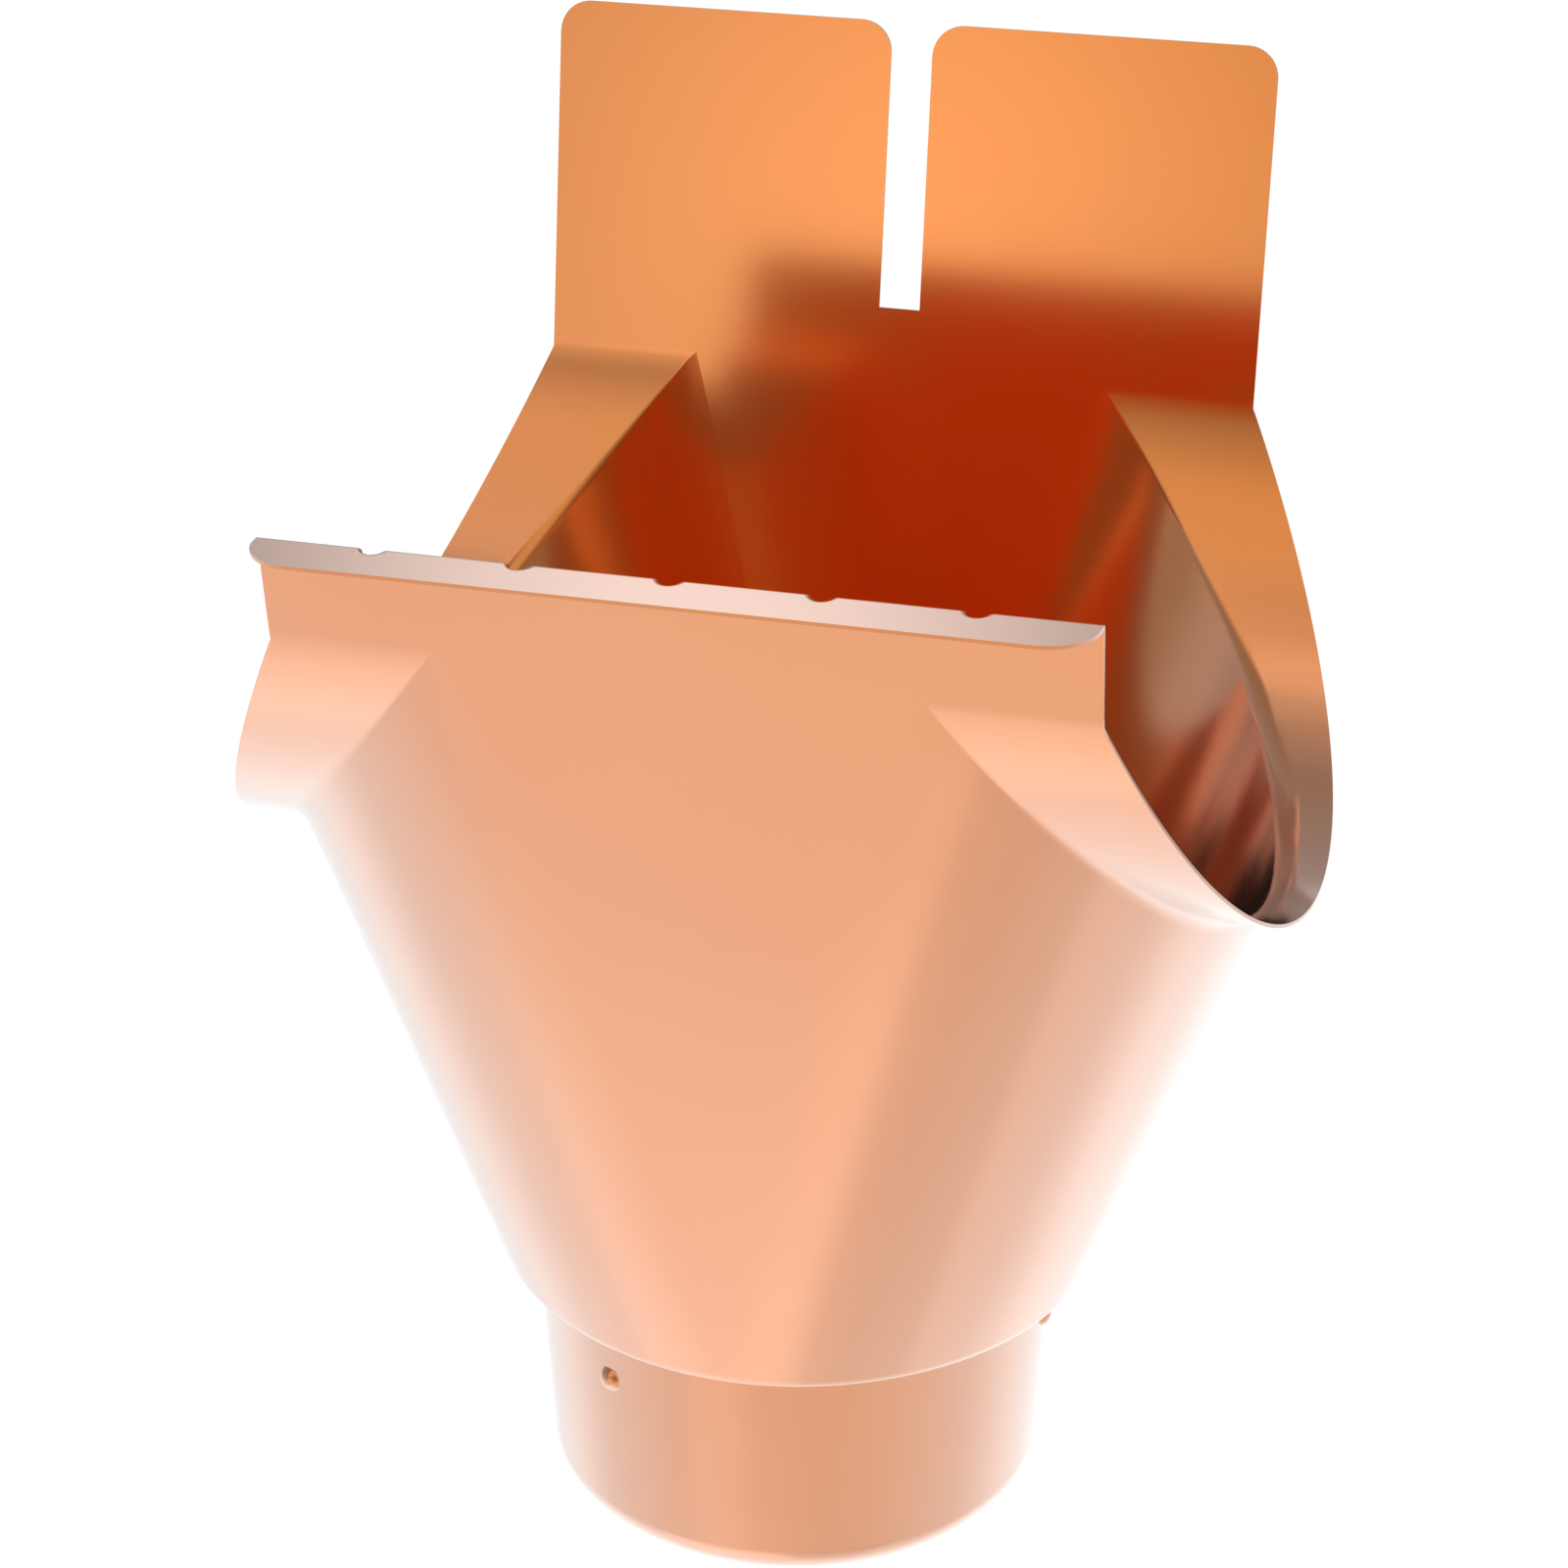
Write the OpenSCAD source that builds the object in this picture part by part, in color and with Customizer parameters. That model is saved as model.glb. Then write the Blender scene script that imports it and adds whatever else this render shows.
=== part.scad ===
// Drop-in outlet for a half-round gutter, deep drawn from one copper sheet.
// The gutter lies along X in the half-round seat, and the funnel drains down to the spigot.
// Z is zero at the spigot's lower rim, the front flange is towards -Y and the lugs are at +Y.

/* [Sheet] */
// Thickness of the copper sheet
sheet = 0.65; // [0.5:0.05:0.9]
// Inside radius of the bend under the front flange
bend_r = 0.5; // [0.3:0.1:1]

/* [Gutter seat] */
// Inside diameter of the half-round seat that clasps the gutter
seat_d = 154.2; // [146:0.1:160]
// Length of the front and rear walls along the gutter
wall_w = 140; // [130:1:150]
// Outward lean of both walls, in degrees
wall_lean = 8.8; // [7:0.1:9.5]
// Depth below the gutter's axis at which the walls turn into the half round
wall_turn = 15; // [12.5:0.1:16]
// Depth below the gutter's axis at which the collar's edges leave the walls
corner_drop = 16.9; // [16.5:0.1:24]
// Slant of the collar's side edges from the vertical, in degrees
collar_slant = 24.3; // [22:0.1:28]

/* [Rear lugs] */
// Height of the lugs above the gutter's axis
lug_top = 50.5; // [40:0.5:60]
// Radius of the lugs' upper corners
lug_corner_r = 6; // [3:0.5:10]
// Width of the slot between the lugs
slot_w = 8; // [6:0.5:12]
// Depth of the slot's bottom below the gutter's axis
slot_drop = 3.8; // [0:0.1:8]

/* [Front flange] */
// Height of the flange's upper face above the gutter's axis
flange_rise = 2.4; // [0:0.1:6]
// Reach of the flange in front of the wall
flange_reach = 10.5; // [9:0.5:13]
// Radius of the flange's front corners
flange_corner_r = 9; // [4:0.5:9]
// Number of stiffening dents pressed across the bend
dents = 5; // [3:1:6]
// Spacing of the dents
dent_pitch = 25; // [20:1:25]
// Radius of a dent
dent_r = 2; // [1.5:0.1:3]

/* [Funnel] */
// Height of the gutter's axis above the ledge at the spigot
drop = 166.7; // [150:1:185]
// Width of the funnel's mouth where its ridges meet the walls
mouth_w = 84.2; // [76:0.1:92]
// Slant of the mouth's ridges from the vertical, in degrees
mouth_slant = 37.9; // [36:0.1:39]
// Outside radius of the crease between collar and funnel
crease_r = 4.4; // [3:0.1:5]
// Width of the ledge at the spigot's sides
ledge_w = 3.5; // [2.5:0.1:5]
// Radius of the shoulder at the spigot's sides
shoulder_r = 4.4; // [3:0.1:6]
// Radius of the shoulder at the front and rear
shoulder_front_r = 0.9; // [0.9:0.1:1.4]

/* [Spigot] */
// Outside diameter of the spigot at its upper end
spigot_d = 100; // [97:0.1:102]
// Length of the spigot from ledge to rim
spigot_len = 47; // [40:1:60]
// Taper of the spigot to each side, in degrees
spigot_taper = 3.3; // [2:0.1:4]
// Outside radius of the drawn-in lead at the rim
lead_r = 7.5; // [5:0.1:9]
// Angle through which the lead turns inwards, in degrees
lead_turn = 65; // [50:1:70]
// Diameter of the rivet holes
hole_d = 5.2; // [3:0.1:7]
// Distance of the rivet holes below the ledge
hole_drop = 10; // [7:0.5:14]
// Number of rivet holes, equally spaced
holes = 3; // [2:1:4]
// Direction of the first rivet hole from the front, in degrees
hole_turn = -30; // [-60:1:60]

/* [Hidden] */
$fn = 96;
copper = [0.93, 0.62, 0.44];
past = 5;
tuck = 0.04;
curve_step = 1 / 56;
ring_points = 128;
seat_r = seat_d / 2;
spigot_r = spigot_d / 2;
axis_z = spigot_len + drop;
ledge_z = spigot_len;
wall_gap = sqrt(seat_r * seat_r - wall_turn * wall_turn) * cos(wall_lean) + wall_turn * sin(wall_lean);
collar_w = wall_w + 2 * tan(collar_slant) * (seat_r + sheet - corner_drop);
wall_half = wall_w / 2;
flange_front = wall_y(flange_rise, sheet) + flange_reach;
shoulder_x = spigot_r + ledge_w;
shoulder_z = -drop + shoulder_r;
shoulder_y = wall_y(shoulder_z, sheet) - shoulder_front_r;
lead_z = lead_r * sin(lead_turn);
taper_rise = ledge_z - lead_z + lead_r * sin(spigot_taper);
lead_x = spigot_r - taper_rise * tan(spigot_taper) - lead_r * cos(spigot_taper);

// Distance of a wall's face from the middle plane, at a height above the gutter's axis.
// The skin is 0 for the sheet's inner face and the sheet's thickness for its outer face.
function wall_y(z, skin) = (wall_gap + skin + z * sin(wall_lean)) / cos(wall_lean);

// Point where a face of the half round meets the same face of the rear wall.
function seat_corner(skin) =
    let (gap = wall_gap + skin, chord = sqrt(pow(seat_r + skin, 2) - gap * gap))
    [gap * cos(wall_lean) - chord * sin(wall_lean), -gap * sin(wall_lean) - chord * cos(wall_lean)];

// Points of an arc, from one angle to another.
function arc(centre, r, from, to, steps = 10) =
    [for (i = [0:steps]) centre + r * [cos(from + (to - from) * i / steps), sin(from + (to - from) * i / steps)]];

function unit(v) = v / norm(v);

function towards(v, way) = v * way < 0 ? -v : v;

// Point of the funnel's ridge on the seat, at an angle from the seat's lowest line.
function ridge(a, skin) =
    let (r = seat_r + skin - tuck, z = -r * cos(a))
    [mouth_w / 2 + tan(mouth_slant) * (-corner_drop - z), r * sin(a), z];

// Ring of the shoulder at an angle round its edge, from upright at 0 to level at 90.
function shoulder_point(around, a, skin) =
    let (thin = sheet - skin)
    [
        (shoulder_x + (shoulder_r - thin) * cos(a)) * cos(around),
        (shoulder_y + (shoulder_front_r - thin) * cos(a)) * sin(around),
        shoulder_z - (shoulder_r - thin) * sin(a)
    ];

function shoulder_ring(a, skin) =
    [for (i = [0:ring_points - 1]) shoulder_point(i * 360 / ring_points, a, skin)];

// Rolls the crease at a point of the ridge: 0 is on the collar, 1 halfway and 2 on the funnel.
function crease_point(a, at, skin, end) =
    let (
        r = crease_r + sheet - skin,
        p = ridge(a, skin),
        along = unit([tan(mouth_slant) * -sin(a), cos(a), sin(a)]),
        down = unit(shoulder_point(a * 90 / end, 20, skin) - p),
        up_normal = [0, sin(a), -cos(a)],
        funnel_normal = unit(cross(along, down)),
        out = unit(towards(cross(up_normal, along), [1, 0, 0])),
        in = unit(towards(cross(funnel_normal, along), down)),
        half = acos(min(1, max(-1, -out * in))) / 2
    )
    at == 0 ? p + r * tan(half) * out :
    at == 2 ? p + r * tan(half) * in :
    p + r * (1 / cos(half) - 1) * unit(out + in);

function crease_curve(at, skin) =
    let (end = acos(-seat_corner(skin)[1] / (seat_r + skin - tuck)))
    [for (i = [-1:curve_step * 2:1.0001]) crease_point(i * end, at, skin, end)];

// The ridge's two ends on the walls, a touch above the half round and proud of the walls.
function mouth_ends(skin) =
    let (z = seat_corner(skin)[1] + 3 * tuck, x = mouth_w / 2 + tan(mouth_slant) * (-corner_drop - z))
    [for (side = [-1, 1]) [x, side * (wall_y(z, skin) + tuck), z]];

function both_sides(points) = concat(points, [for (p = points) [-p[0], p[1], p[2]]]);

module wrap(points) {
    hull() polyhedron(points = points, faces = [[for (i = [0:len(points) - 1]) i]]);
}

// Section across the gutter inside one face of the sheet: half round, walls and front flange.
// The walls start a touch above their corner with the half round, so that the two overlap.
module seat_section(skin, top, front) {
    corner_z = seat_corner(skin)[1];
    low = corner_z + tuck;
    level = flange_rise - skin;
    r = bend_r + sheet - skin;
    bend = [-wall_y(level - r, skin + r), level - r];
    intersection() {
        circle(r = seat_r + skin, $fn = 180);
        translate([-2 * seat_r, low + tuck - 2 * seat_r]) square([4 * seat_r, 2 * seat_r]);
    }
    polygon(concat(
        [[-front, top], [-front, level]],
        arc(bend, r, 90, wall_lean),
        [[-wall_y(low, skin), low], [wall_y(low, skin), low], [wall_y(top, skin), top]]
    ));
}

module along_gutter(length) {
    translate([-length / 2, 0, 0]) rotate([90, 0, 90]) linear_extrude(length) children();
}

// Extrudes an outline seen from the front, between two depths.
module across_gutter(from, to) {
    translate([0, to, 0]) rotate([90, 0, 0]) linear_extrude(to - from) children();
}

module lug_outline() {
    base = -slot_drop - past;
    width = wall_half - slot_w / 2;
    translate([slot_w / 2, base]) {
        square([width, lug_top - base - lug_corner_r]);
        translate([lug_corner_r, 0]) square([width - 2 * lug_corner_r, lug_top - base]);
        for (x = [lug_corner_r, width - lug_corner_r])
            translate([x, lug_top - base - lug_corner_r]) circle(r = lug_corner_r);
    }
}

module collar_outline() {
    low = -seat_r - past;
    low_x = wall_half + tan(collar_slant) * (-corner_drop - low);
    polygon([
        [-low_x, low],
        [low_x, low],
        [wall_half, -corner_drop],
        [wall_half, -slot_drop],
        [-wall_half, -slot_drop],
        [-wall_half, -corner_drop]
    ]);
}

// Cuts the seat's walls, collar and lugs to their outline as seen from the front.
module trimming() {
    deep = seat_d;
    across_gutter(-deep, deep) collar_outline();
    across_gutter(-deep, 0)
        translate([-wall_half, -slot_drop - past]) square([wall_w, slot_drop + past + flange_rise + past]);
    across_gutter(0, deep) {
        lug_outline();
        mirror([1, 0]) lug_outline();
    }
}

module flange_corner() {
    translate([wall_half - flange_corner_r, -flange_front + flange_corner_r, flange_rise - past])
        linear_extrude(2 * past) difference() {
            translate([0, -flange_corner_r - past]) square([flange_corner_r + past, flange_corner_r + past]);
            circle(r = flange_corner_r);
        }
}

module dent_rods(r) {
    for (i = [0:dents - 1])
        translate([(i - (dents - 1) / 2) * dent_pitch, -wall_y(flange_rise, 0), flange_rise])
            rotate([45, 0, 0]) cylinder(r = r, h = 4 * dent_r, center = true, $fn = 48);
}

// Everything inside one face of the funnel, with its rolled crease and shoulder.
module funnel_form(skin) {
    on_collar = both_sides(crease_curve(0, skin));
    midway = both_sides(crease_curve(1, skin));
    on_funnel = both_sides(concat(crease_curve(2, skin), mouth_ends(skin)));
    wrap(concat(on_collar, midway));
    wrap(concat(midway, on_funnel));
    wrap(concat(on_funnel, [for (a = [0:10:90]) each shoulder_ring(a, skin)]));
}

// Profile inside one face of the spigot, with its root under the ledge and its drawn-in lead.
// The outer face runs on a little past the rim, where the inner form cuts it off square.
module spigot_profile(skin) {
    inner = skin < sheet;
    thin = sheet - skin;
    r = lead_r - thin;
    turn = inner ? lead_turn : lead_turn + past;
    lead = [lead_x, lead_z];
    start = lead + r * [cos(spigot_taper), -sin(spigot_taper)];
    end = lead + (inner ? 2 : 1) * r * [cos(turn), -sin(turn)];
    level = ledge_z + thin + tuck / 2;
    root_r = bend_r + thin;
    root_z = level - root_r;
    root = [start[0] + (root_z - start[1]) * tan(spigot_taper) + root_r / cos(spigot_taper), root_z];
    polygon(concat(
        [[0, end[1]], end],
        arc(lead, r, -turn, -spigot_taper, 16),
        arc(root, root_r, 180 - spigot_taper, 90, 8),
        [[root[0], level + sheet / 2], [0, level + sheet / 2]]
    ));
}

module rivet_holes() {
    for (i = [0:holes - 1])
        rotate(hole_turn + i * 360 / holes) translate([0, -lead_x, ledge_z - hole_drop])
            rotate([90, 0, 0]) cylinder(d = hole_d, h = spigot_d / 2, $fn = 48);
}

module outer_form() {
    translate([0, 0, axis_z]) {
        intersection() {
            along_gutter(collar_w + past) seat_section(sheet, lug_top + past, flange_front);
            trimming();
        }
        dent_rods(dent_r + sheet);
        funnel_form(sheet);
    }
    rotate_extrude($fn = 180) spigot_profile(sheet);
}

module inner_form() {
    translate([0, 0, axis_z]) {
        along_gutter(collar_w + 2 * past) seat_section(0, lug_top + 2 * past, flange_front + past);
        dent_rods(dent_r);
        funnel_form(0);
        flange_corner();
        mirror([1, 0, 0]) flange_corner();
    }
    rotate_extrude($fn = 180) spigot_profile(0);
    rivet_holes();
}

// The whole outlet is one drawn sheet: what lies between its outer and inner faces.
module outlet_body() {
    color(copper) difference() {
        outer_form();
        inner_form();
    }
}

outlet_body();
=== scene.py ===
"""Looks of a drop-in outlet for a half-round gutter, deep drawn from one copper sheet.

Sizes are in millimetres in the frame of the CAD part: the gutter lies along X, the spigot's rim
is at Z zero, the front flange is towards -Y and the lugs are at +Y. One drawn sheet stands for
the CAD node outlet_body. Its outer face is laid out in strips that follow the drawing of the
real sheet, and it gets its pressed dents, its pips and its thickness afterwards.
"""

from __future__ import annotations

import logging
import math
from dataclasses import dataclass, field
from enum import Enum
from functools import partial
from typing import Any, Iterable

import bmesh
import bpy
import numpy as np
from mathutils import Matrix, Vector

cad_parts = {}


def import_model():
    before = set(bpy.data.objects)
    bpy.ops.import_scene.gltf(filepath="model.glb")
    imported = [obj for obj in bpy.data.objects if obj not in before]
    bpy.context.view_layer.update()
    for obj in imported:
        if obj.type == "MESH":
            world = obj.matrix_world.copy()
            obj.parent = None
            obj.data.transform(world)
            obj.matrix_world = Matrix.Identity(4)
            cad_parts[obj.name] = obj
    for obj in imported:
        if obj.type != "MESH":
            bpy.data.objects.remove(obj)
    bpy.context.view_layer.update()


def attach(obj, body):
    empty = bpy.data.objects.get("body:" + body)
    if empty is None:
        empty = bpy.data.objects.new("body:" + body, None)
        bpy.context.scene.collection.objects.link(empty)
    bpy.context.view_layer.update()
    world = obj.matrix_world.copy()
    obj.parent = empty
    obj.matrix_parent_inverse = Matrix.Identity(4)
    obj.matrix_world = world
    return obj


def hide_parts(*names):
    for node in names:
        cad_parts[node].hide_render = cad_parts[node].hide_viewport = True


LOG = logging.getLogger("gutter_outlet")
Points = np.ndarray

# A millimetre in metres, which are the scene's unit.
MM = 0.001
# What a point is multiplied by to get its image at -X, or its place in the middle plane.
MIRROR = np.array([-1, 1, 1])
TO_MIDDLE = np.array([0, 1, 1])
# Rows of the funnel along its straight strips of sheet, from the crease to the shoulder.
RULING_SHARES = np.concatenate([[0, 0.004, 0.012, 0.03, 0.06], np.linspace(0.1, 1, 13)])
# Columns of a flat wall from the middle plane to its corner, where they lie closer together.
FLAT_SHARES = np.concatenate([[0, 0.25, 0.45, 0.6], np.linspace(0.7, 1, 9)])
# Places across a bell curve, in widths of the curve.
BELL = np.linspace(-2.5, 2.5, 21)


@dataclass(frozen=True)
class Cells:
    """How many steps each stretch of the sheet is divided into.

    They are fine enough for smooth reflections and keep the piece under 200,000 triangles.
    """

    ridge: int = 118
    collar: int = 8
    crease: int = 8
    wall_end: int = 8
    shoulder: int = 10
    ledge: int = 3
    root: int = 7
    spigot: int = 16
    lead: int = 16
    flange: int = 61
    flange_far: int = 4
    flange_near: int = 16
    flange_corner: int = 18
    dent: int = 40
    bend: int = 6
    front_wall: int = 18
    lug_corner: int = 14


CELLS = Cells()


def linear(hex_colour: str) -> tuple[float, float, float, float]:
    """Turns an sRGB hex colour into the linear colour that Blender's sockets take.

    Args:
        hex_colour: A colour such as "#F2A87E".

    Returns:
        Linear red, green and blue with an alpha of one.
    """
    parts = [int(hex_colour[i:i + 2], 16) / 255 for i in (1, 3, 5)]
    turned = [c / 12.92 if c <= 0.04045 else ((c + 0.055) / 1.055) ** 2.4 for c in parts]
    return (turned[0], turned[1], turned[2], 1.0)


def add_node(
    tree: bpy.types.NodeTree, kind: str, settings: dict[str, Any] | None = None, **links: Any
) -> bpy.types.Node:
    """Adds a node with its settings and feeds its inputs.

    Args:
        tree: The node tree to add to.
        kind: The node's Blender type name.
        settings: Properties of the node, by name.
        **links: What each input takes, keyed by "i" and the input's number or by its name with
            spaces as underscores: an output socket to link, or a value to set.

    Returns:
        The new node.
    """
    node = tree.nodes.new(kind)
    for name, value in (settings or {}).items():
        setattr(node, name, value)
    for key, value in links.items():
        place = int(key[1:]) if key[1:].isdigit() and key[0] == "i" else key.replace("_", " ")
        socket = node.inputs[place]
        if isinstance(value, bpy.types.NodeSocket):
            tree.links.new(value, socket)
        else:
            socket.default_value = value
    return node


def add_maths(tree: bpy.types.NodeTree, operation: str, *values: Any) -> bpy.types.NodeSocket:
    """Adds one Math node, fed with the values in their order, and returns its output."""
    links = {f"i{i}": value for i, value in enumerate(values)}
    return add_node(tree, "ShaderNodeMath", {"operation": operation}, **links).outputs[0]


def unit(vectors: Points) -> Points:
    """Scales vectors, along the last axis, to a length of one."""
    return vectors / np.linalg.norm(vectors, axis=-1, keepdims=True)


def between(first: Points, last: Points, shares: Iterable[float]) -> Points:
    """Lays rows of points between a first and a last row, at the given shares."""
    return np.array([first + (last - first) * s for s in shares])


def even(cells: int) -> Points:
    """Shares from zero to one in equal steps."""
    return np.linspace(0, 1, cells + 1)


def arc(centre: tuple[float, float], radius: float, start: float, end: float, cells: int) -> Points:
    """Points of an arc in a plane.

    Args:
        centre: The arc's centre.
        radius: Its radius.
        start: Its first angle, in radians.
        end: Its last angle, in radians.
        cells: How many steps it is divided into.

    Returns:
        An array of cells + 1 points.
    """
    turn = np.linspace(start, end, cells + 1)
    return np.stack([centre[0] + radius * np.cos(turn), centre[1] + radius * np.sin(turn)], -1)


def refine(made: bmesh.types.BMesh, middle: Vector, reach: float, cuts: int) -> None:
    """Divides the faces of a mesh that lie round a point.

    Args:
        made: The mesh.
        middle: The point.
        reach: How far from it the middle of such a face lies at most.
        cuts: How many cuts each edge gets.
    """
    near = [f for f in made.faces if (f.calc_center_median() - middle).length < reach]
    edges = list(dict.fromkeys(e for f in near for e in f.edges))
    bmesh.ops.subdivide_edges(made, edges=edges, cuts=cuts, use_grid_fill=True)


class Side(Enum):
    """The two long walls of the outlet, by the sign of their Y."""

    FRONT = -1
    REAR = 1


@dataclass
class SheetFace:
    """Strips and outlines of one face of the sheet, welded where they meet.

    Points nearer than weld are made one, and edges shorter than sliver go. Round each fine spot
    the mesh is divided once for each of the fine shares of its reach.
    """

    weld: float = 0.004
    sliver: float = 0.002
    fine_shares: tuple[float, ...] = (1.0, 0.55)
    fine_cuts: int = 3
    points: list[Points] = field(default_factory=list)
    faces: list[tuple[int, ...]] = field(default_factory=list)
    count: int = 0

    def strip(self, rows: Points, both_sides: bool = True) -> None:
        """Adds a strip of quads.

        Args:
            rows: Points as rows by columns by three.
            both_sides: Whether a mirror image at -X is added too.
        """
        height, width = rows.shape[:2]
        for image in (rows, rows * MIRROR) if both_sides else (rows,):
            at = self.count
            self.points.append(image.reshape(-1, 3))
            self.count += height * width
            self.faces += [
                (at + i * width + j, at + i * width + j + 1,
                 at + (i + 1) * width + j + 1, at + (i + 1) * width + j)
                for i in range(height - 1) for j in range(width - 1)
            ]

    def outline(self, ring: Points) -> None:
        """Adds one flat face.

        Args:
            ring: The points of its outline, in order.
        """
        self.points.append(ring)
        self.faces.append(tuple(range(self.count, self.count + len(ring))))
        self.count += len(ring)

    def mesh(self, name: str, lift: float, fine_spots: Points, reach: float) -> bpy.types.Mesh:
        """Welds everything into a mesh whose faces point away from the hollow.

        Args:
            name: Name of the mesh.
            lift: Height of the gutter's axis above the ground.
            fine_spots: Points round which the mesh is made finer.
            reach: Distance from such a point up to which it is finer.

        Returns:
            The mesh, in metres.
        """
        points = (np.concatenate(self.points) + [0, 0, lift]) * MM
        made = bmesh.new()
        corners = [made.verts.new(p) for p in points]
        for face in self.faces:
            made.faces.new([corners[i] for i in face])
        bmesh.ops.remove_doubles(made, verts=made.verts, dist=self.weld * MM)
        bmesh.ops.dissolve_degenerate(made, edges=made.edges, dist=self.sliver * MM)
        bmesh.ops.recalc_face_normals(made, faces=made.faces)
        front = max(made.faces, key=lambda f: f.calc_area() if f.calc_center_median().y < 0 else 0)
        if front.normal.y > 0:
            bmesh.ops.reverse_faces(made, faces=made.faces)
        for spot in fine_spots:
            for share in self.fine_shares:
                refine(made, Vector(spot) * MM, reach * share * MM, self.fine_cuts)
        mesh = bpy.data.meshes.new(name)
        made.to_mesh(mesh)
        made.free()
        return mesh


@dataclass(frozen=True)
class Seat:
    """Half-round seat with its walls, collar strips, front flange and rear lugs.

    Heights are from the gutter's axis and the outline is that of the sheet's outer face. The
    mesh is fine up to dent_reach from a dent's middle, and other columns keep dent_gap from that.
    The flange's strip runs down the front wall to flange_foot.
    """

    sheet: float = 0.65
    bend: float = 0.5
    radius: float = 77.1
    wall_half: float = 70.0
    lean: float = math.radians(8.8)
    wall_turn: float = 15.0
    corner_drop: float = 16.9
    collar_slant: float = math.radians(24.3)
    ridge_half: float = 42.1
    ridge_slant: float = math.radians(37.9)
    lug_top: float = 50.5
    lug_corner: float = 6.0
    slot_half: float = 4.0
    slot_drop: float = 3.8
    flange_rise: float = 2.4
    flange_reach: float = 10.5
    flange_corner: float = 9.0
    flange_foot: float = -3.2
    dents: int = 5
    dent_pitch: float = 25.0
    dent_radius: float = 2.0
    dent_reach: float = 4.0
    dent_gap: float = 0.2

    @property
    def outer(self) -> float:
        """Radius of the seat's outer face."""
        return self.radius + self.sheet

    @property
    def gap(self) -> float:
        """Distance of a wall's inner plane from the axis."""
        chord = math.sqrt(self.radius ** 2 - self.wall_turn ** 2)
        return chord * math.cos(self.lean) + self.wall_turn * math.sin(self.lean)

    @property
    def corner_angle(self) -> float:
        """Angle from the seat's lowest line to where its outer face meets a wall."""
        gap = self.gap + self.sheet
        chord = math.sqrt(self.outer ** 2 - gap ** 2)
        drop = gap * math.sin(self.lean) + chord * math.cos(self.lean)
        return math.acos(drop / self.outer)

    def wall_y(self, height: Any, skin: float) -> Any:
        """Distance of a wall's face from the middle plane, at a height."""
        return (self.gap + skin + height * math.sin(self.lean)) / math.cos(self.lean)

    def on_wall(self, side: Side, outline: Points) -> Points:
        """Places an outline of X and height on the outer face of a wall."""
        x, z = outline[:, 0], outline[:, 1]
        return np.stack([x, side.value * self.wall_y(z, self.sheet), z], -1)

    def ridge_x(self, height: Any) -> Any:
        """Half width of the funnel's mouth at a height."""
        return self.ridge_half + math.tan(self.ridge_slant) * (-self.corner_drop - height)

    def edge_x(self, height: Any) -> Any:
        """Half width of the collar at a height."""
        spread = np.maximum(-self.corner_drop - height, 0)
        return self.wall_half + math.tan(self.collar_slant) * spread

    def angles(self, cells: int) -> Points:
        """Angles round the seat, measured from its lowest line.

        Args:
            cells: How many steps lie between the collar's corners.

        Returns:
            The angles, from where the front wall starts to where the rear wall does.
        """
        corner = math.acos(self.corner_drop / self.outer)
        inner = np.linspace(-corner, corner, cells + 1)
        return np.concatenate([[-self.corner_angle], inner, [self.corner_angle]])

    def flange_front(self, x: Points) -> Points:
        """Distance of the flange's front edge from the middle plane, with its round corners.

        Args:
            x: Places along the flange.

        Returns:
            The distance at each place.
        """
        reach = self.wall_y(self.flange_rise, self.sheet) + self.flange_reach
        over = np.clip(np.abs(x) - (self.wall_half - self.flange_corner), 0, self.flange_corner)
        return reach - self.flange_corner + np.sqrt(self.flange_corner ** 2 - over ** 2)

    def flange_columns(self) -> Points:
        """Lays out the flange's columns, close together at the dents and in the round corners.

        Returns:
            Their X, from left to right.
        """
        straight = self.wall_half - self.flange_corner
        columns = list(np.linspace(-straight, straight, CELLS.flange + 1))
        fine = np.linspace(-self.dent_reach, self.dent_reach, CELLS.dent + 1)
        for i in range(self.dents):
            middle = (i - (self.dents - 1) / 2) * self.dent_pitch
            columns = [x for x in columns if abs(x - middle) > self.dent_reach + self.dent_gap]
            columns += list(middle + fine)
        turn = np.linspace(0, math.pi / 2, CELLS.flange_corner + 1)[1:]
        ends = straight + self.flange_corner * np.sin(turn)
        return np.array(sorted([*columns, *ends, *-ends]))

    def flange_rows(self) -> Points:
        """Lays out the flange, its bend and the top of the front wall.

        Returns:
            Points as rows by columns by three, from the flange's front edge down to its foot.
        """
        x = self.flange_columns()
        level = self.flange_rise - self.sheet
        centre = self.wall_y(level - self.bend, self.sheet + self.bend)
        front = self.flange_front(x)
        near = np.linspace(0, self.dent_reach, CELLS.flange_near + 1) / (front.max() - centre)
        far = np.linspace(1, near[-1], CELLS.flange_far + 1)[:-1]
        rows = [
            np.stack([x, -(centre + (front - centre) * s), level + 0 * x], -1)
            for s in [*far, *near[::-1]]
        ]
        bend = arc((-centre, level - self.bend), self.bend, math.pi / 2, self.lean, CELLS.bend)[1:]
        rows += [np.stack([x, y + 0 * x, z + 0 * x], -1) for y, z in bend]
        for z in np.linspace(bend[-1][1], self.flange_foot, CELLS.front_wall + 1)[1:]:
            rows.append(self.on_wall(Side.FRONT, np.stack([x, z + 0 * x], -1)))
        return np.array(rows)

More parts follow.
